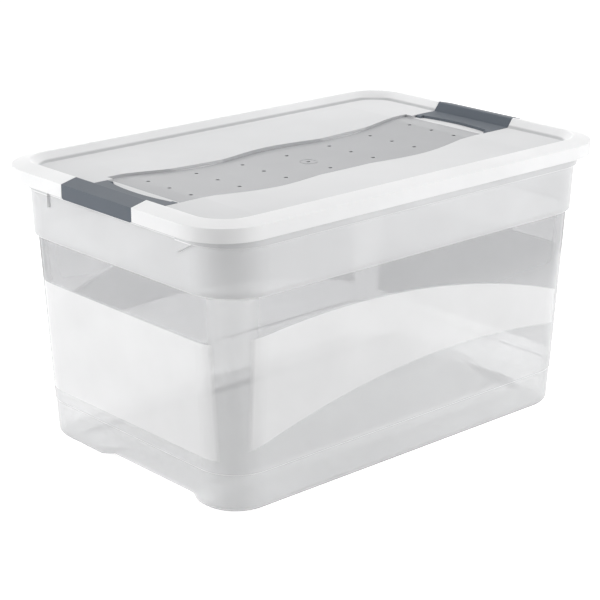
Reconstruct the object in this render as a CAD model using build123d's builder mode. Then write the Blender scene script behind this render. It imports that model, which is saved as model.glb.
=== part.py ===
"""Clear lidded storage box: a tapered moulded tub, a lid with a raised rim and a wavy centre channel,
and two clips that are hinged at the ends of the channel and fold over the rim.

Millimetres. +X runs along the box, +Y across it, +Z up. The origin is under the middle of the box.
"""

import os
from math import cos, hypot, pi

from build123d import *

# Tub, outside
foot_half_x = 260.5
foot_half_y = 170.0
foot_corner_r = 45.0
foot_edge_r = 9.0
side_draft_x = 13.0  # how much further out each end leans at the shoulder
side_draft_y = 12.4
base_line_z = 45.0  # fine step low on the sides
base_line_step = 0.6
shoulder_z = 243.0  # step under the upper band
shoulder_step = 3.0
shoulder_corner_r = 56.0
band_draft = 2.6
wall = 2.0

# Tub, base
floor_gap_z = 12.0  # height of the gap between the two foot rails
rail_inner_y = 113.0
rail_slope = 5.0
gap_edge_r = 4.0
wide_foot_inner_y = 50.0  # at each end one foot reaches further in
wide_foot_slope = 19.0
wide_foot_length = 22.0

# Tub, rim
rim_reach_x = 15.2  # from the band out to the rim's edge, at the ends
rim_reach_y = 6.3  # the same along the sides
rim_corner_r = 57.4
rim_z = 319.6
rim_thickness = 2.2
lip_height = 10.0
lip_thickness = 2.0
collar_height = 22.6  # from its lower edge up to the top of the rim
collar_step = 2.2
finger_room_half_y = 112.0  # the collar leaves this part of each end free
bracket_length = 26.0
bracket_drop = 14.0

# Lid
lid_wall = 2.0
lid_gap = 0.6  # between the tub's rim and the lid
skirt_height = 15.2
crest_rise = 4.8  # from the shoulder over the skirt to the highest line of the rim
crest_r = 3.0
crest_inset = 20.5  # from the skirt to that line
panel_inset = 29.0  # from the skirt to the foot of the rim's inner side
panel_depth = 11.0  # from the highest line down to the panel
sag_depth = 5.4  # how much lower the middle of the panel is
sag_inset_x = 63.5  # the sag fades out this far from the panel's edge
sag_inset_y = 6.5
sag_full_half_y = 50.0
channel_depth = 2.7
channel_end_gap = 9.0  # from the hinge to the end of the wavy part
channel_half_y = 65.0
channel_wave = 7.5
channel_wave_length = 225.0
dot_pitch_x = 66.8
dot_pitch_y = 37.0
dot_columns = 7
dot_rows = 3
dot_r = 2.3
dot_depth = 0.8
gate_ring_r = 10.0
gate_ring_width = 1.2
gate_ring_height = 0.4

# Clips
clip_half_y = 61.0
clip_wall = 1.8
clip_overlap = 1.0  # how far a clip hangs below the skirt
clip_corner_r = 3.0
clip_gap = 0.3  # between a closed clip and the lid under it
clip_side_gap = 0.5
notch_wall = 1.4
notch_outer_inset = 8.5  # the lid ends here under a strap, and the rest is cut away
notch_side_wall = 1.6
plate_thickness = 4.1
plate_lift = 0.3  # the clip's plate stands this much over the panel
plate_hollow = 8.0
ear_step = 2.0
ear_length = 8.0
hinge_inset = 59.5  # from the skirt
hinge_depth = 2.9  # below the top of the plate
pin_r = 1.6
pin_length = 3.6
pin_clearance = 0.08
boss_wall = 2.0
boss_cover = 0.5

# Taken from the sizes above
band_half_x = foot_half_x + side_draft_x + base_line_step + shoulder_step
band_half_y = foot_half_y + side_draft_y + base_line_step + shoulder_step
collar_z = rim_z - collar_height
rim_half_x = band_half_x + band_draft + rim_reach_x
rim_half_y = band_half_y + band_draft + rim_reach_y
collar_half_x = band_half_x + band_draft + collar_step
collar_half_y = band_half_y + band_draft + collar_step
collar_corner_r = shoulder_corner_r + collar_step
lid_half_x = rim_half_x + lid_gap + lid_wall
lid_half_y = rim_half_y + lid_gap + lid_wall
lid_corner_r = rim_corner_r + lid_gap + lid_wall
lid_shoulder_z = rim_z + lid_gap + lid_wall
lid_top_z = lid_shoulder_z + crest_rise
skirt_z = lid_shoulder_z - skirt_height
crest_x = lid_half_x - crest_inset
panel_x = lid_half_x - panel_inset
panel_z = lid_top_z - panel_depth
sag_half_x = panel_x - sag_inset_x
sag_half_y = lid_half_y - panel_inset - sag_inset_y
clip_bottom_z = skirt_z - clip_overlap
hinge_x = lid_half_x - hinge_inset
channel_half_x = hinge_x - channel_end_gap
plate_top_z = panel_z + plate_lift
plate_z = plate_top_z - plate_thickness
hinge_z = plate_top_z - hinge_depth
knuckle_r = hinge_depth
pocket_z = hinge_z - knuckle_r - clip_gap
pocket_half_y = clip_half_y + clip_side_gap
pocket_x = hinge_x - knuckle_r - clip_gap
channel_z = panel_z - channel_depth
notch_depth = clip_wall + clip_gap
notch_outer_x = lid_half_x - notch_outer_inset
rim_slope = hypot(crest_inset - panel_inset, lid_top_z - panel_z)
notch_foot_x = panel_x + notch_depth * (lid_top_z - panel_z) / rim_slope
notch_foot_z = panel_z + notch_depth * (crest_inset - panel_inset) / rim_slope
plate_back_x = notch_foot_x - clip_gap
bead_r = lid_half_x - clip_wall - rim_half_x - clip_gap
deep = 40.0  # reach of the blocks that trim the lid


def rounded_slab(half_x, half_y, corner_r, low_z, high_z):
    """A straight slab with rounded corners."""
    with BuildPart(mode=Mode.PRIVATE) as slab:
        with BuildSketch(Plane.XY.offset(low_z)):
            RectangleRounded(2 * half_x, 2 * half_y, corner_r)
        extrude(amount=high_z - low_z)
    return slab.part


def tapered_block(lower, upper):
    """A block between two rounded rectangles, each given as half_x, half_y, corner_r, z."""
    with BuildPart(mode=Mode.PRIVATE) as block:
        for half_x, half_y, corner_r, z in (lower, upper):
            with BuildSketch(Plane.XY.offset(z)):
                RectangleRounded(2 * half_x, 2 * half_y, corner_r)
        loft(ruled=True)
    return block.part


def side_outline(z, step, inset):
    """The tub below the shoulder: its outline at height z, moved out by step and in by inset."""
    share = z / shoulder_z
    return (foot_half_x + side_draft_x * share + step - inset,
            foot_half_y + side_draft_y * share + step - inset,
            foot_corner_r + (shoulder_corner_r - foot_corner_r) * share - inset, z)


def band_outline(z, inset):
    """The tub's upper band: its outline at height z, moved in by inset."""
    share = band_draft * (z - shoulder_z) / (rim_z - shoulder_z)
    return (band_half_x + share - inset, band_half_y + share - inset, shoulder_corner_r - inset, z)


def floor_gap(grow):
    """The gap between the foot rails, grown on all sides. It narrows at one foot of each end."""
    middle_end = foot_half_x - wide_foot_length + grow
    wide = (rail_inner_y + rail_slope, rail_inner_y - rail_slope)
    narrow = (wide_foot_inner_y + wide_foot_slope, wide_foot_inner_y - wide_foot_slope)
    spans = [(-2 * foot_half_x, -middle_end, wide, narrow), (-middle_end, middle_end, wide, wide),
             (middle_end, 2 * foot_half_x, narrow, wide)]
    with BuildPart(mode=Mode.PRIVATE) as gap:
        for start_x, end_x, low_side, high_side in spans:
            with BuildSketch(Plane.YZ.offset(start_x)) as section:
                with BuildLine():
                    Polyline((-low_side[0], 0), (-low_side[1], floor_gap_z), (high_side[1], floor_gap_z),
                             (high_side[0], 0), close=True)
                make_face()
                fillet(section.vertices().group_by(Axis.Y)[-1], gap_edge_r)
                if grow:
                    offset(amount=grow)
            extrude(amount=end_x - start_x)
    return gap.part


with BuildPart() as box_body:
    add(tapered_block(side_outline(0, 0, 0), side_outline(base_line_z, 0, 0)))
    fillet(box_body.faces().sort_by(Axis.Z)[0].edges(), foot_edge_r)
    add(tapered_block(side_outline(base_line_z, base_line_step, 0),
                      side_outline(shoulder_z, base_line_step, 0)))
    add(tapered_block(band_outline(shoulder_z, 0), band_outline(rim_z, 0)))
    # Flange, lip and collar of the rim
    add(rounded_slab(rim_half_x, rim_half_y, rim_corner_r, rim_z - lip_height, rim_z))
    add(rounded_slab(rim_half_x - lip_thickness, rim_half_y - lip_thickness, rim_corner_r - lip_thickness,
                     rim_z - lip_height, rim_z - rim_thickness), mode=Mode.SUBTRACT)
    add(tapered_block(band_outline(rim_z - lip_height, 0), band_outline(rim_z, 0)))
    with BuildSketch(Plane.XY.offset(collar_z)) as collar:
        RectangleRounded(2 * collar_half_x, 2 * collar_half_y, collar_corner_r)
        with Locations((-collar_half_x, 0), (collar_half_x, 0)):
            Rectangle(2 * (collar_half_x - band_half_x), 2 * finger_room_half_y, mode=Mode.SUBTRACT)
    extrude(amount=rim_z - rim_thickness - collar_z)
    # Brackets where the collar stops beside the finger room
    for side in (-1, 1):
        with BuildSketch(Plane.YZ.offset(-collar_half_x)) as bracket:
            with BuildLine():
                Polyline((side * finger_room_half_y, collar_z), (side * (finger_room_half_y + bracket_length),
                         collar_z), (side * finger_room_half_y, collar_z - bracket_drop), close=True)
            make_face()
        extrude(amount=2 * collar_half_x)
    # Inside
    with BuildPart(mode=Mode.PRIVATE) as inside:
        add(tapered_block(side_outline(wall, 0, wall), side_outline(shoulder_z + wall, 0, wall)))
        fillet(inside.faces().sort_by(Axis.Z)[0].edges(), foot_edge_r - wall)
        add(tapered_block(band_outline(shoulder_z + wall, wall), band_outline(rim_z + wall, wall)))
        add(floor_gap(wall), mode=Mode.SUBTRACT)
    add(inside.part, mode=Mode.SUBTRACT)
    add(floor_gap(0), mode=Mode.SUBTRACT)


def panel_drop(x):
    """How far the sagging panel is below its edge at x, along the middle of the lid."""
    radius = (sag_half_x**2 + sag_depth**2) / (2 * sag_depth)
    if abs(x) >= sag_half_x:
        return 0.0
    return (radius**2 - x**2) ** 0.5 - (radius - sag_depth)


def sag_block(top_z, half_y, full_half_y):
    """All that lies under the sagging panel: the sag is full in the middle and fades towards +-Y."""
    spans = [(-half_y, 0.0, -full_half_y, sag_depth), (-full_half_y, sag_depth, full_half_y, sag_depth),
             (full_half_y, sag_depth, half_y, 0.0)]
    with BuildPart(mode=Mode.PRIVATE) as block:
        with BuildSketch(Plane.XY.offset(top_z - deep)):
            Rectangle(2 * lid_half_x, 2 * lid_half_y)
        extrude(amount=deep)
        with BuildPart(mode=Mode.PRIVATE) as hollow:
            for start_y, start_drop, end_y, end_drop in spans:
                if start_y == end_y:
                    continue
                for y, drop in ((start_y, start_drop), (end_y, end_drop)):
                    with BuildSketch(Plane.XZ.offset(-y)):
                        with BuildLine():
                            Polyline((-sag_half_x, top_z), (-sag_half_x, top_z + 1), (sag_half_x, top_z + 1),
                                     (sag_half_x, top_z))
                            ThreePointArc((-sag_half_x, top_z), (0, top_z - max(drop, 0.001)),
                                          (sag_half_x, top_z))
                        make_face()
                loft(ruled=True)
        add(hollow.part, mode=Mode.SUBTRACT)
    return block.part


def channel_block(grow, low_z, high_z):
    """The channel seen from above, grown on all sides: a wavy middle and straight ends for the clips."""
    xs = [(channel_half_x + grow) * step / 8 for step in range(-8, 9)]
    middle = [(x, channel_wave * cos(2 * pi * x / channel_wave_length)) for x in xs]
    with BuildPart(mode=Mode.PRIVATE) as block:
        with BuildSketch(Plane.XY.offset(low_z)):
            with BuildLine():
                far = Spline(*[(x, y + channel_half_y + grow) for x, y in middle])
                near = Spline(*[(x, y - channel_half_y - grow) for x, y in middle])
                Line(far @ 0, near @ 0)
                Line(far @ 1, near @ 1)
            make_face()
            Rectangle(2 * notch_foot_x, 2 * (pocket_half_y + grow))
        extrude(amount=high_z - low_z)
    return block.part


def plate_block(front_x, grow, low_z, high_z):
    """The plate of the right clip, seen from above and grown on all sides, with its two ears."""
    ear_y = clip_half_y - ear_length
    with BuildPart(mode=Mode.PRIVATE) as block:
        with BuildSketch(Plane.XY.offset(low_z)):
            with BuildLine():
                Polyline((hinge_x + ear_step, ear_y), (front_x, ear_y), (front_x, clip_half_y),
                         (plate_back_x, clip_half_y), (plate_back_x, -clip_half_y), (front_x, -clip_half_y),
                         (front_x, -ear_y), (hinge_x + ear_step, -ear_y))
                ThreePointArc((hinge_x + ear_step, -ear_y), (hinge_x + plate_hollow, 0),
                              (hinge_x + ear_step, ear_y))
            make_face()
            if grow:
                offset(amount=grow, kind=Kind.INTERSECTION)
        extrude(amount=high_z - low_z)
    return block.part


def rim_band(low_z, depth, outer_x=2 * lid_half_x):
    """The outer layer of the rim, seen along Y and depth thick, as far out as outer_x."""
    with BuildSketch(mode=Mode.PRIVATE) as band:
        with BuildLine():
            FilletPolyline((lid_half_x, low_z), (lid_half_x, lid_shoulder_z),
                           (crest_x, lid_top_z), (panel_x, panel_z), radius=(0, crest_r))
            offset(amount=depth, side=Side.LEFT)
        make_face()
        with Locations((outer_x + lid_half_x, lid_top_z)):
            Rectangle(2 * lid_half_x, 2 * deep, mode=Mode.SUBTRACT)
    return band.sketch_local


def cross_bars(radius, inner_y, outer_y):
    """Round bars on the hinge axis of the right clip, from inner_y to outer_y on both sides."""
    with BuildPart(mode=Mode.PRIVATE) as bars:
        for start_y in (inner_y, -outer_y):
            with BuildSketch(Plane.XZ.offset(-start_y)):
                with Locations((hinge_x, hinge_z)):
                    Circle(radius)
            extrude(amount=inner_y - outer_y)
    return bars.part


def at_both_ends(right_end):
    """A part of the right end together with its mirror image at the left end."""
    with BuildPart(mode=Mode.PRIVATE) as ends:
        add(right_end)
        mirror(right_end, about=Plane.YZ)
    return ends.part


with BuildPart() as lid:
    # Rim, swept round the lid
    with BuildLine() as rim_path:
        FilletPolyline((lid_half_x, 0), (lid_half_x, lid_half_y), (-lid_half_x, lid_half_y),
                       (-lid_half_x, 0), radius=lid_corner_r)
        mirror(about=Plane.XZ)
    with BuildSketch(Plane.XZ):
        with BuildLine():
            FilletPolyline((lid_half_x, skirt_z), (lid_half_x, lid_shoulder_z),
                           (crest_x, lid_top_z), (panel_x, panel_z), (panel_x - 3 * lid_wall, panel_z),
                           radius=(0, crest_r, lid_wall))
            offset(amount=lid_wall, side=Side.LEFT)
        make_face()
    sweep(path=rim_path.wire())
    # Sagging panel inside the rim
    with BuildPart(mode=Mode.PRIVATE) as panel:
        add(rounded_slab(panel_x - lid_wall, lid_half_y - panel_inset - lid_wall,
                         lid_corner_r - panel_inset - lid_wall, panel_z - deep, panel_z))
        add(sag_block(panel_z, sag_half_y, sag_full_half_y), mode=Mode.INTERSECT)
        add(sag_block(panel_z - lid_wall, sag_half_y, sag_full_half_y), mode=Mode.SUBTRACT)
    add(panel.part)
    # Channel: walls and floor first, then the space above the floor
    with BuildPart(mode=Mode.PRIVATE) as channel_walls:
        add(channel_block(lid_wall, panel_z - deep, panel_z))
        add(sag_block(panel_z, sag_half_y, sag_full_half_y), mode=Mode.INTERSECT)
        add(sag_block(channel_z - lid_wall, lid_half_y, lid_half_y), mode=Mode.SUBTRACT)
    add(channel_walls.part)
    with BuildPart(mode=Mode.PRIVATE) as channel_space:
        add(channel_block(0, panel_z - deep, panel_z + lid_wall))
        add(sag_block(channel_z, lid_half_y, lid_half_y), mode=Mode.SUBTRACT)
    add(channel_space.part, mode=Mode.SUBTRACT)
    # Dimples in the channel and the ring round the middle one
    ring_z = channel_z - sag_depth
    add(rounded_slab(gate_ring_r, gate_ring_r, gate_ring_r - gate_ring_width, ring_z - dot_depth,
                     ring_z + gate_ring_height))
    add(rounded_slab(gate_ring_r - gate_ring_width, gate_ring_r - gate_ring_width,
                     gate_ring_r - 2 * gate_ring_width, ring_z, lid_top_z), mode=Mode.SUBTRACT)
    with GridLocations(dot_pitch_x, dot_pitch_y, dot_columns, dot_rows) as grid:
        spots = [(spot.position.X, spot.position.Y) for spot in grid.local_locations]
    with Locations(*[(x, y, channel_z - panel_drop(x) - dot_depth) for x, y in spots]):
        Cylinder(dot_r, channel_depth, align=(Align.CENTER, Align.CENTER, Align.MIN), mode=Mode.SUBTRACT)
    # Pockets for the clips' plates, with a boss round each pin
    with BuildPart(mode=Mode.PRIVATE) as pocket_walls:
        add(plate_block(hinge_x - knuckle_r, clip_side_gap + notch_side_wall, pocket_z - lid_wall,
                        channel_z))
        add(cross_bars(pin_r + pin_clearance + boss_wall, pocket_half_y,
                       clip_half_y + pin_length + clip_gap + boss_wall))
        with BuildSketch(Plane.XY.offset(panel_z - boss_cover)):
            Rectangle(4 * lid_half_x, 4 * lid_half_y)
        extrude(amount=deep, mode=Mode.SUBTRACT)
    add(at_both_ends(pocket_walls.part))
    with BuildPart(mode=Mode.PRIVATE) as pocket_space:
        add(plate_block(hinge_x - knuckle_r, clip_side_gap, pocket_z, panel_z + lid_wall))
        add(cross_bars(pin_r + pin_clearance, clip_half_y, clip_half_y + pin_length + clip_gap))
        with BuildSketch(Plane.XZ):
            add(rim_band(skirt_z - deep, notch_depth))
        extrude(amount=pocket_half_y, both=True)
    add(at_both_ends(pocket_space.part), mode=Mode.SUBTRACT)
    # Lower rim under each clip's strap, closed at its two ends
    with BuildPart(mode=Mode.PRIVATE) as notch:
        with BuildSketch(Plane.XZ):
            add(rim_band(skirt_z, notch_depth + notch_wall, notch_outer_x))
            add(rim_band(skirt_z - deep, notch_depth), mode=Mode.SUBTRACT)
            with Locations((notch_foot_x, pocket_z - lid_wall)):
                Rectangle(notch_wall, notch_foot_z - pocket_z + lid_wall, align=(Align.MIN, Align.MIN))
        extrude(amount=pocket_half_y + notch_side_wall, both=True)
        for side in (-1, 1):
            with BuildSketch(Plane.XZ.offset(side * pocket_half_y)):
                add(rim_band(skirt_z, notch_depth + notch_wall, notch_outer_x))
            extrude(amount=side * notch_side_wall)
    add(at_both_ends(notch.part))
    lid.part.label = "lid"

with BuildPart() as clip_right:
    # Strap over the rim
    with BuildSketch(Plane.XZ):
        add(rim_band(clip_bottom_z, clip_wall))
    extrude(amount=clip_half_y, both=True)
    lower_end = clip_right.faces().sort_by(Axis.Z)[0]
    fillet(lower_end.edges().sort_by(SortBy.LENGTH)[:2], clip_corner_r)
    # Bead that snaps past the rim's edge
    with BuildSketch(Plane.XZ):
        with Locations((lid_half_x - clip_wall, clip_bottom_z + 2 * bead_r)):
            Circle(bead_r)
    extrude(amount=clip_half_y - clip_corner_r, both=True)
    # Plate that lies in the pocket, with its knuckles and pins
    add(plate_block(hinge_x, 0, plate_z, plate_top_z))
    add(cross_bars(knuckle_r, clip_half_y - ear_length, clip_half_y))
    add(cross_bars(pin_r, clip_half_y - ear_length, clip_half_y + pin_length))
    clip_right.part.label = "clip_right"

with BuildPart() as clip_left:
    mirror(clip_right.part, about=Plane.YZ)
    clip_left.part.label = "clip_left"

box_body.part.label = "box_body"

os.makedirs("parts", exist_ok=True)
for piece in (box_body, lid, clip_left, clip_right):
    export_step(piece.part, f"parts/{piece.part.label}.step")
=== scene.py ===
"""Clear lidded storage box on a white studio floor."""
from math import pi, radians

import bpy
from mathutils import Matrix, Vector


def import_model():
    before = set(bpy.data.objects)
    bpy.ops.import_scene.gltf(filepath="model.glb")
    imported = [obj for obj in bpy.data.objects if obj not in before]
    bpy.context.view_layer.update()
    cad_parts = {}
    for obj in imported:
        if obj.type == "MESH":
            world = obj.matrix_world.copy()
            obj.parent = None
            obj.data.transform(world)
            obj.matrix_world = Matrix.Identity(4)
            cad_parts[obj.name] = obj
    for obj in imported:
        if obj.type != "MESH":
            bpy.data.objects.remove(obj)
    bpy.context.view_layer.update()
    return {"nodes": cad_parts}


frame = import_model()

# Camera of the photograph
CAMERA_PLACE = (-1.364, -1.5065, 0.8255)
CAMERA_YAW = 41.89  # degrees, from +Y towards +X
CAMERA_PITCH = 18.60  # degrees below the horizon
CAMERA_LENS = 110.1
SENSOR_WIDTH = 36.0

# The tub's zones
SHOULDER_Z = 0.243
BASE_LINE_Z = 0.045
COLLAR_Z = 0.297
LINE_WIDTH = 0.0009
PANEL_HALF_X = 0.235  # frosted panel of each long side
PANEL_ARC = 0.5  # both of its edges are arcs of about 1 m radius
PANEL_TOP = (-0.107, 0.205)
PANEL_BOTTOM = (0.070, 0.118)
END_PANEL_HALF_Y = 0.147  # frosted panel of each end
END_PANEL_Z = (0.060, 0.190)
LONG_SIDE_Y = 0.165
END_X = 0.255
# Painted light: past these half sizes the corner columns keep part of the lighter grey.
PAINTED_LIGHT_COLUMN = (0.232, 0.147)  # the columns start past these half sizes
PAINTED_LIGHT_COLUMN_SHARE = 0.7
# Painted shade: the clear plastic greys with height.
PAINTED_SHADE_Z = (0.10, 0.20)  # the clear plastic is written greyer above these heights
EDGE_BLUR = 0.0006
SIDE_BLUR = 0.003
COLUMN_BLUR = 0.010

# The lid's zones
LID_PANEL_Z = 0.3168
LID_PANEL_REACH = (0.2735, 0.1735)
LID_PANEL_R = 0.045
CHANNEL_HALF_Y = 0.0652
CHANNEL_WAVE = 0.0075
CHANNEL_WAVE_LENGTH = 0.225
CHANNEL_END_X = 0.2292
CHANNEL_BLUR = 0.0005
DOT_PITCH = (0.0668, 0.0370)
DOT_REACH = (0.2104, 0.0470)
DOT_R = 0.0023

# Colours
# Clear plastic, lighter low down; the greyer upper tone on the next line is painted shade.
BASE_GREY = (0.97, 0.975, 0.985, 1)
UPPER_PAINTED_SHADE_GREY = (0.60, 0.605, 0.62, 1)
# Painted shade: dark edges of the clear strip where it is seen at a slant.
GRAZING_SHADE_GREY = (0.10, 0.105, 0.115, 1)
FROST_WHITE = (0.99, 0.992, 0.997, 1)
BAND_GREY = (0.86, 0.865, 0.875, 1)
# Whiter plastic on the steps, partly a painted highlight.
STEP_HIGHLIGHT_WHITE = (1, 1, 1, 1)
LID_WHITE = (0.97, 0.972, 0.977, 1)
# Painted shade in the lid's sunk panel.
SUNK_PANEL_SHADE_GREY = (0.62, 0.625, 0.635, 1)
# The channel's grey: a tint of its clearer plastic, partly painted shade of the dark inside seen through it.
CHANNEL_TINT_AND_SHADE_GREY = (0.47, 0.475, 0.49, 1)
# Painted shade on the lid's dimples.
DIMPLE_SHADE_GREY = (0.16, 0.165, 0.175, 1)
CLIP_GREY = (0.118, 0.137, 0.162, 1)

# Opacity of one surface of the tub, and what each zone adds to it
CLEAR_ALPHA = 0.33
SLANT_ALPHA = 0.6
PANELS_ALPHA = 0.27
BAND_ALPHA = 0.28
# The step lines are more opaque, denser plastic at the folds.
STEP_HIGHLIGHT_ALPHA = 0.7
LID_ALPHA = 0.9

# Studio
FLOOR_HALF = 4
FLOOR_SEEN = 0.62
FLOOR_GLOW = 0.78
FLOOR_BOUNCE = 0.75
SKY_LIGHT = 0.45


class Nodes:
    """A node tree, with short calls that add and link its nodes."""

    def __init__(self, tree):
        self.tree = tree

    def add(self, kind, *inputs, **values):
        """A node with its first inputs linked or set, and its properties set."""
        node = self.tree.nodes.new(kind)
        for name, value in values.items():
            setattr(node, name, value)
        for socket, value in zip(node.inputs, inputs):
            self.put(socket, value)
        return node

    def put(self, socket, value):
        """Links the socket to another socket, or sets its value."""
        if isinstance(value, bpy.types.NodeSocket):
            self.tree.links.new(value, socket)
        else:
            socket.default_value = value

    def math(self, operation, *inputs, clamp=False):
        return self.add("ShaderNodeMath", *inputs, operation=operation, use_clamp=clamp).outputs[0]

    def product(self, first, *others):
        for other in others:
            first = self.math("MULTIPLY", first, other)
        return first

    def inverse(self, mask):
        return self.math("SUBTRACT", 1.0, mask)

    def step(self, value, edge, softness):
        """0 below the edge and 1 above it, blurred over softness on both sides."""
        node = self.add("ShaderNodeMapRange", value, edge - softness, edge + softness)
        return node.outputs[0]

    def line(self, value, centre, width):
        """1 on a thin line at centre, fading out over width on both sides."""
        away = self.math("ABSOLUTE", self.math("SUBTRACT", value, centre))
        return self.math("SUBTRACT", 1.0, self.math("DIVIDE", away, width), clamp=True)

    def mix(self, factor, low, high, blend="MIX"):
        """A colour between low and high, or low multiplied by high."""
        node = self.add("ShaderNodeMix", data_type="RGBA", blend_type=blend)
        self.put(node.inputs["Factor"], factor)
        self.put(node.inputs[6], low)
        self.put(node.inputs[7], high)
        return node.outputs[2]

    def between(self, value, low, high, softness):
        """1 between low and high and 0 outside."""
        return self.product(self.step(value, low, softness), self.inverse(self.step(value, high, softness)))

    def object_place(self):
        """The x, y and z of a point in the piece's own coordinates."""
        return self.add("ShaderNodeSeparateXYZ", self.add("ShaderNodeTexCoord").outputs["Object"]).outputs

    def slant(self):
        """0 where the surface faces the ray and 1 at a grazing angle."""
        node = self.add("ShaderNodeLayerWeight")
        node.inputs["Blend"].default_value = 0.5
        return node.outputs["Facing"]


def new_group(name, inputs, outputs):
    """A shader node group with named sockets: (name, socket type, default) each."""
    group = bpy.data.node_groups.new(name, "ShaderNodeTree")
    for socket_name, kind, default in inputs:
        group.interface.new_socket(socket_name, in_out="INPUT", socket_type=kind).default_value = default
    for socket_name, kind in outputs:
        group.interface.new_socket(socket_name, in_out="OUTPUT", socket_type=kind)
    nodes = Nodes(group)
    return group, nodes, nodes.add("NodeGroupInput"), nodes.add("NodeGroupOutput")


def arc_height(nodes, x, peak):
    """Height of an arc with its peak at (x, z)."""
    offset = nodes.math("SUBTRACT", x, peak[0])
    return nodes.math("SUBTRACT", peak[1], nodes.product(offset, offset, PANEL_ARC))


def inside_rounded(nodes, x, y, reach, radius):
    """How far inside a rounded rectangle of half sizes reach a point lies. Below 0 outside."""
    past = []
    for value, half in ((x, reach[0]), (y, reach[1])):
        over = nodes.math("SUBTRACT", nodes.math("ABSOLUTE", value), half - radius)
        over = nodes.math("MAXIMUM", over, 0.0)
        past.append(nodes.math("MULTIPLY", over, over))
    return nodes.math("SUBTRACT", radius, nodes.math("SQRT", nodes.math("ADD", *past)))


def frost_zones():
    """The tub's zones: frosted 'Panels' and 'Band', 'Lines' at its steps for whiter plastic with a painted
    highlight,
    'Height' from 0 to 1 for painted shade that greys the upper wall (less in the corner columns, which is painted
    light), and the 'Clear' strip under the band, whose slanted edges get painted shade."""
    group, nodes, source, target = new_group(
        "frost_zones", [("Line", "NodeSocketFloat", LINE_WIDTH)],
        [(name, "NodeSocketFloat") for name in ("Panels", "Band", "Lines", "Height", "Clear")])
    x, y, z = nodes.object_place()
    far_x, far_y = nodes.math("ABSOLUTE", x), nodes.math("ABSOLUTE", y)

    side_x = nodes.product(x, nodes.product(nodes.math("SIGN", y), -1.0))
    above = nodes.math("SUBTRACT", z, arc_height(nodes, side_x, PANEL_BOTTOM))
    below = nodes.math("SUBTRACT", arc_height(nodes, side_x, PANEL_TOP), z)
    long_panel = nodes.product(nodes.step(above, 0.0, EDGE_BLUR), nodes.step(below, 0.0, EDGE_BLUR),
                               nodes.step(far_y, LONG_SIDE_Y, EDGE_BLUR),
                               nodes.inverse(nodes.step(far_x, PANEL_HALF_X, SIDE_BLUR)))
    end_panel = nodes.product(nodes.between(z, *END_PANEL_Z, EDGE_BLUR),
                              nodes.step(far_x, END_X, EDGE_BLUR),
                              nodes.inverse(nodes.step(far_y, END_PANEL_HALF_Y, SIDE_BLUR)))
    nodes.put(target.inputs["Panels"], nodes.math("MAXIMUM", long_panel, end_panel))
    nodes.put(target.inputs["Band"], nodes.step(z, SHOULDER_Z + 0.0005, EDGE_BLUR))

    # Lines at the shoulder, base line and collar: whiter plastic with a painted highlight.
    width = source.outputs["Line"]
    shoulder = nodes.line(z, SHOULDER_Z, width)
    base = nodes.line(z, BASE_LINE_Z, nodes.product(width, 0.7))
    collar = nodes.product(nodes.line(z, COLLAR_Z, width), 0.6)
    step_highlights = nodes.math("MAXIMUM", collar, nodes.math("MAXIMUM", shoulder, base))
    nodes.put(target.inputs["Lines"], step_highlights)
    nodes.put(target.inputs["Clear"], nodes.between(z, END_PANEL_Z[1], SHOULDER_Z - 0.0012, EDGE_BLUR))

    # Painted light on the corner columns, which are spared part of the painted shade by height.
    painted_light_column = nodes.product(nodes.step(far_x, PAINTED_LIGHT_COLUMN[0], COLUMN_BLUR),
                           nodes.step(far_y, PAINTED_LIGHT_COLUMN[1], COLUMN_BLUR), PAINTED_LIGHT_COLUMN_SHARE)
    height = nodes.add("ShaderNodeMapRange", z, *PAINTED_SHADE_Z).outputs[0]
    nodes.put(target.inputs["Height"], nodes.product(height, nodes.inverse(painted_light_column)))
    return group


def channel_zones():
    """The lid's zones: the sunk 'Panel', the wavy 'Channel' and the 'Dots' in it, which the lid's material greys
    with painted shade.
    """
    group, nodes, source, target = new_group(
        "channel_zones", [], [(name, "NodeSocketFloat") for name in ("Panel", "Channel", "Dots")])
    x, y, z = nodes.object_place()

    wave = nodes.math("COSINE", nodes.product(x, 2 * pi / CHANNEL_WAVE_LENGTH))
    across = nodes.math("ABSOLUTE", nodes.math("SUBTRACT", y, nodes.product(wave, CHANNEL_WAVE)))
    inside = nodes.math("SUBTRACT", CHANNEL_HALF_Y, across)
    ends = nodes.math("SUBTRACT", CHANNEL_END_X, nodes.math("ABSOLUTE", x))
    nodes.put(target.inputs["Channel"], nodes.product(nodes.step(inside, 0.0, CHANNEL_BLUR),
                                                      nodes.step(ends, 0.0, CHANNEL_BLUR)))

    # The sunk panel, greyed with painted shade in the lid's material.
    rest = inside_rounded(nodes, x, y, LID_PANEL_REACH, LID_PANEL_R)
    low = nodes.inverse(nodes.step(z, LID_PANEL_Z + 0.002, 0.001))
    nodes.put(target.inputs["Panel"], nodes.product(low, nodes.step(rest, 0.0, 0.001)))

    offsets = []
    for value, pitch in ((x, DOT_PITCH[0]), (y, DOT_PITCH[1])):
        nearest = nodes.math("SNAP", nodes.math("ADD", value, pitch / 2), pitch)
        offset = nodes.math("SUBTRACT", value, nearest)
        offsets.append(nodes.product(offset, offset))
    distance = nodes.math("SQRT", nodes.math("ADD", *offsets))
    dots = nodes.inverse(nodes.step(distance, DOT_R, 0.0002))
    for value, reach in ((x, DOT_REACH[0]), (y, DOT_REACH[1])):
        dots = nodes.product(dots, nodes.math("LESS_THAN", nodes.math("ABSOLUTE", value), reach))
    nodes.put(target.inputs["Dots"], dots)
    return group


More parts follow.
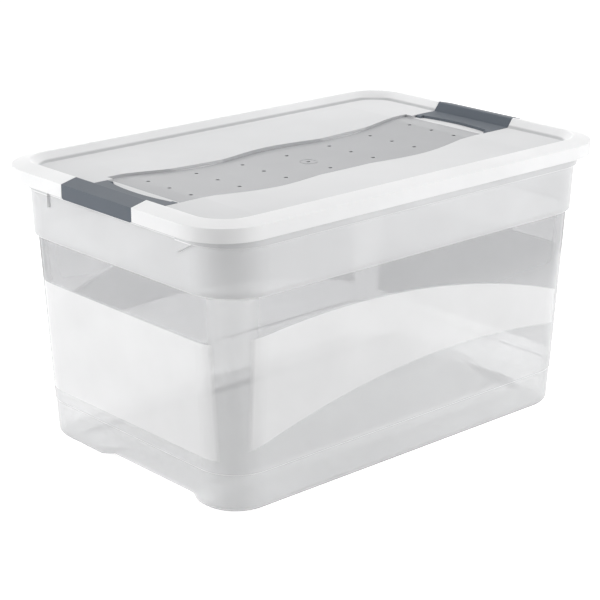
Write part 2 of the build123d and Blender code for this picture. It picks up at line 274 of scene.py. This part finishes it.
def fine_grain():
    """Grain of frosted plastic as a bump normal, and slow mottling as a value near 1."""
    group, nodes, source, target = new_group(
        "fine_grain", [("Scale", "NodeSocketFloat", 900.0), ("Strength", "NodeSocketFloat", 0.1)],
        [("Normal", "NodeSocketVector"), ("Mottle", "NodeSocketFloat")])
    place = nodes.add("ShaderNodeTexCoord").outputs["Object"]
    grain = nodes.add("ShaderNodeTexNoise", place, noise_dimensions="3D")
    nodes.put(grain.inputs["Scale"], source.outputs["Scale"])
    grain.inputs["Detail"].default_value = 3.0
    bump = nodes.add("ShaderNodeBump")
    nodes.put(bump.inputs["Strength"], source.outputs["Strength"])
    bump.inputs["Distance"].default_value = 0.0003
    nodes.put(bump.inputs["Height"], grain.outputs[0])
    slow = nodes.add("ShaderNodeTexNoise", place, noise_dimensions="3D")
    slow.inputs["Scale"].default_value = 14.0
    slow.inputs["Detail"].default_value = 2.0
    mottle = nodes.add("ShaderNodeMapRange", slow.outputs[0], 0.3, 0.7, 0.97, 1.02)
    nodes.put(target.inputs["Normal"], bump.outputs[0])
    nodes.put(target.inputs["Mottle"], mottle.outputs[0])
    return group


def new_material(name):
    material = bpy.data.materials.new(name)
    material.use_nodes = True
    material.node_tree.nodes.clear()
    return material, Nodes(material.node_tree)


def mottled(nodes, colour, texture):
    """The colour with the texture's slow mottling."""
    value = texture.outputs["Mottle"]
    mottle = nodes.add("ShaderNodeCombineColor", value, value, value).outputs[0]
    return nodes.mix(1.0, colour, mottle, "MULTIPLY")


def with_gloss(nodes, body, roughness):
    """The body under a clear glossy skin, which reflects more at a slant."""
    share = nodes.math("ADD", 0.04, nodes.product(nodes.math("POWER", nodes.slant(), 5.0), 0.9))
    gloss = nodes.add("ShaderNodeBsdfAnisotropic", (1, 1, 1, 1), roughness)
    return nodes.add("ShaderNodeMixShader", share, body, gloss.outputs[0]).outputs[0]


def clear_plastic(zones, grain):
    """The tub: clear walls with frosted panels and a frosted upper band, painted shade greying the upper clear
    wall, painted highlights on the steps and painted dark edges at a slant.
    """
    material, nodes = new_material("tub_clear")
    zone = nodes.add("ShaderNodeGroup", node_tree=zones).outputs
    texture = nodes.add("ShaderNodeGroup", node_tree=grain)
    slant = nodes.slant()
    frosted = nodes.math("MAXIMUM", zone["Panels"], zone["Band"])

    # Painted shade: the clear wall greys towards the top, less in the corner columns.
    colour = nodes.mix(zone["Height"], BASE_GREY, UPPER_PAINTED_SHADE_GREY)
    colour = nodes.mix(zone["Band"], colour, BAND_GREY)
    colour = nodes.mix(zone["Panels"], colour, FROST_WHITE)
    colour = mottled(nodes, colour, texture)
    # Painted highlight, partly whiter plastic, on the steps.
    colour = nodes.mix(zone["Lines"], colour, STEP_HIGHLIGHT_WHITE)
    # Painted shade on the clear strip where the wall is seen at a slant.
    grazing_shade = nodes.add("ShaderNodeMapRange", slant, 0.72, 0.88).outputs[0]
    colour = nodes.mix(nodes.product(zone["Clear"], grazing_shade), colour, GRAZING_SHADE_GREY)

    alpha = nodes.math("ADD", CLEAR_ALPHA, nodes.product(nodes.math("POWER", slant, 4.0), SLANT_ALPHA))
    alpha = nodes.math("ADD", alpha, nodes.product(zone["Panels"], PANELS_ALPHA))
    alpha = nodes.math("ADD", alpha, nodes.product(zone["Band"], BAND_ALPHA))
    alpha = nodes.math("ADD", alpha, nodes.product(zone["Lines"], STEP_HIGHLIGHT_ALPHA), clamp=True)

    shader = nodes.add("ShaderNodeBsdfPrincipled")
    roughness = nodes.add("ShaderNodeMapRange", frosted, 0.0, 1.0, 0.07, 0.40).outputs[0]
    nodes.put(shader.inputs["Base Color"], colour)
    nodes.put(shader.inputs["Roughness"], roughness)
    nodes.put(shader.inputs["Alpha"], alpha)
    shader.inputs["Specular IOR Level"].default_value = 0.0
    nodes.add("ShaderNodeOutputMaterial", with_gloss(nodes, shader.outputs[0], roughness))
    return material


def milky_plastic(zones, grain):
    """The lid: milky and a little see-through, with painted shade on the sunk panel, a greyer, smoother channel
    whose grey is partly painted shade, and dimples darkened with painted shade.
    """
    material, nodes = new_material("lid_milky")
    zone = nodes.add("ShaderNodeGroup", node_tree=zones).outputs
    texture = nodes.add("ShaderNodeGroup", node_tree=grain)
    texture.inputs["Strength"].default_value = 0.08

    # Painted shade: the sunk panel is greyer than the crest around it.
    colour = nodes.mix(zone["Panel"], LID_WHITE, SUNK_PANEL_SHADE_GREY)
    # Channel grey: partly its clearer plastic, partly painted shade.
    colour = nodes.mix(zone["Channel"], colour, CHANNEL_TINT_AND_SHADE_GREY)
    # Painted shade: the dimples are darkened.
    colour = nodes.mix(zone["Dots"], colour, DIMPLE_SHADE_GREY)

    shader = nodes.add("ShaderNodeBsdfPrincipled")
    roughness = nodes.add("ShaderNodeMapRange", zone["Channel"], 0.0, 1.0, 0.55, 0.22).outputs[0]
    nodes.put(shader.inputs["Base Color"], mottled(nodes, colour, texture))
    nodes.put(shader.inputs["Roughness"], roughness)
    nodes.put(shader.inputs["Normal"], texture.outputs["Normal"])
    shader.inputs["Specular IOR Level"].default_value = 0.0
    shader.inputs["Alpha"].default_value = LID_ALPHA
    nodes.add("ShaderNodeOutputMaterial", with_gloss(nodes, shader.outputs[0], roughness))
    return material


def matt_plastic(grain):
    """The clips: matt blue-grey plastic."""
    material, nodes = new_material("clip_matt")
    texture = nodes.add("ShaderNodeGroup", node_tree=grain)
    texture.inputs["Strength"].default_value = 0.15
    shader = nodes.add("ShaderNodeBsdfPrincipled")
    nodes.put(shader.inputs["Base Color"], mottled(nodes, CLIP_GREY, texture))
    nodes.put(shader.inputs["Normal"], texture.outputs["Normal"])
    shader.inputs["Roughness"].default_value = 0.45
    shader.inputs["Specular IOR Level"].default_value = 0.3
    nodes.add("ShaderNodeOutputMaterial", shader.outputs[0])
    return material


def carry(node, material):
    """Gives a CAD node its material."""
    piece = frame["nodes"][node]
    piece.data.materials.clear()
    piece.data.materials.append(material)


def floor():
    """White floor that keeps a soft contact shadow. Only the camera sees its glow."""
    half = FLOOR_HALF
    mesh = bpy.data.meshes.new("floor")
    mesh.from_pydata([(-half, -half, 0), (half, -half, 0), (half, half, 0), (-half, half, 0)], [], [(0, 1, 2, 3)])
    piece = bpy.data.objects.new("floor", mesh)
    bpy.context.scene.collection.objects.link(piece)
    material, nodes = new_material("floor_white")
    lit = nodes.add("ShaderNodeBsdfDiffuse", (FLOOR_SEEN, FLOOR_SEEN, FLOOR_SEEN, 1))
    glow = nodes.add("ShaderNodeEmission", (1, 1, 1, 1), FLOOR_GLOW)
    seen = nodes.add("ShaderNodeAddShader", lit.outputs[0], glow.outputs[0])
    bounce = nodes.add("ShaderNodeBsdfDiffuse", (FLOOR_BOUNCE, FLOOR_BOUNCE, FLOOR_BOUNCE, 1))
    camera_ray = nodes.add("ShaderNodeLightPath").outputs["Is Camera Ray"]
    mix = nodes.add("ShaderNodeMixShader", camera_ray, bounce.outputs[0], seen.outputs[0])
    nodes.add("ShaderNodeOutputMaterial", mix.outputs[0])
    mesh.materials.append(material)


def area_light(name, place, target, size, power):
    """A softbox at place that faces target. size is (width, height) in metres."""
    lamp = bpy.data.lights.new(name, "AREA")
    lamp.shape = "RECTANGLE"
    lamp.size, lamp.size_y = size
    lamp.energy = power
    piece = bpy.data.objects.new(name, lamp)
    aim = (Vector(target) - Vector(place)).to_track_quat("-Z", "Y")
    piece.matrix_world = Matrix.Translation(place) @ aim.to_matrix().to_4x4()
    bpy.context.scene.collection.objects.link(piece)


def world():
    """White where the camera looks past the floor. Reflections see a bright horizon and a dim sky."""
    sky = bpy.data.worlds.new("studio")
    bpy.context.scene.world = sky
    sky.use_nodes = True
    sky.node_tree.nodes.clear()
    nodes = Nodes(sky.node_tree)
    path = nodes.add("ShaderNodeLightPath").outputs
    direction = nodes.add("ShaderNodeTexCoord").outputs["Generated"]
    height = nodes.add("ShaderNodeSeparateXYZ", direction).outputs[2]
    mirrored = nodes.add("ShaderNodeMapRange", height, 0.26, 0.46, 1.0, 0.10).outputs[0]
    overhead = nodes.add("ShaderNodeMapRange", height, 0.60, 0.90, 0.0, 0.9).outputs[0]
    mirrored = nodes.math("ADD", mirrored, overhead)
    seen = nodes.math("MAXIMUM", path["Is Camera Ray"], path["Is Transmission Ray"])
    strength = nodes.add("ShaderNodeMix", data_type="FLOAT")
    nodes.put(strength.inputs["Factor"], path["Is Glossy Ray"])
    nodes.put(strength.inputs[2], SKY_LIGHT)
    nodes.put(strength.inputs[3], mirrored)
    strength = nodes.math("MAXIMUM", strength.outputs[0], seen)
    background = nodes.add("ShaderNodeBackground", (1, 1, 1, 1), strength)
    nodes.add("ShaderNodeOutputWorld", background.outputs[0])


def camera():
    """The photograph's camera."""
    lens = bpy.data.cameras.new("camera")
    lens.lens = CAMERA_LENS
    lens.sensor_width = SENSOR_WIDTH
    piece = bpy.data.objects.new("camera", lens)
    piece.rotation_euler = (radians(90 - CAMERA_PITCH), 0, radians(-CAMERA_YAW))
    piece.location = CAMERA_PLACE
    bpy.context.scene.collection.objects.link(piece)
    bpy.context.scene.camera = piece


camera()
world()
floor()
area_light("top_softbox", (0.8, 0.9, 1.7), (0, 0, 0.3), (1.6, 1.4), 15)
area_light("left_softbox", (-2.05, 1.20, 0.85), (0, 0, 0.2), (1.3, 1.2), 30)
area_light("right_softbox", (1.25, -2.1, 0.85), (0, 0, 0.2), (1.3, 1.2), 30)

zones, grain = frost_zones(), fine_grain()
carry("box_body", clear_plastic(zones, grain))
carry("lid", milky_plastic(channel_zones(), grain))
clip = matt_plastic(grain)
carry("clip_left", clip)
carry("clip_right", clip)

bpy.context.scene.view_settings.view_transform = "Standard"
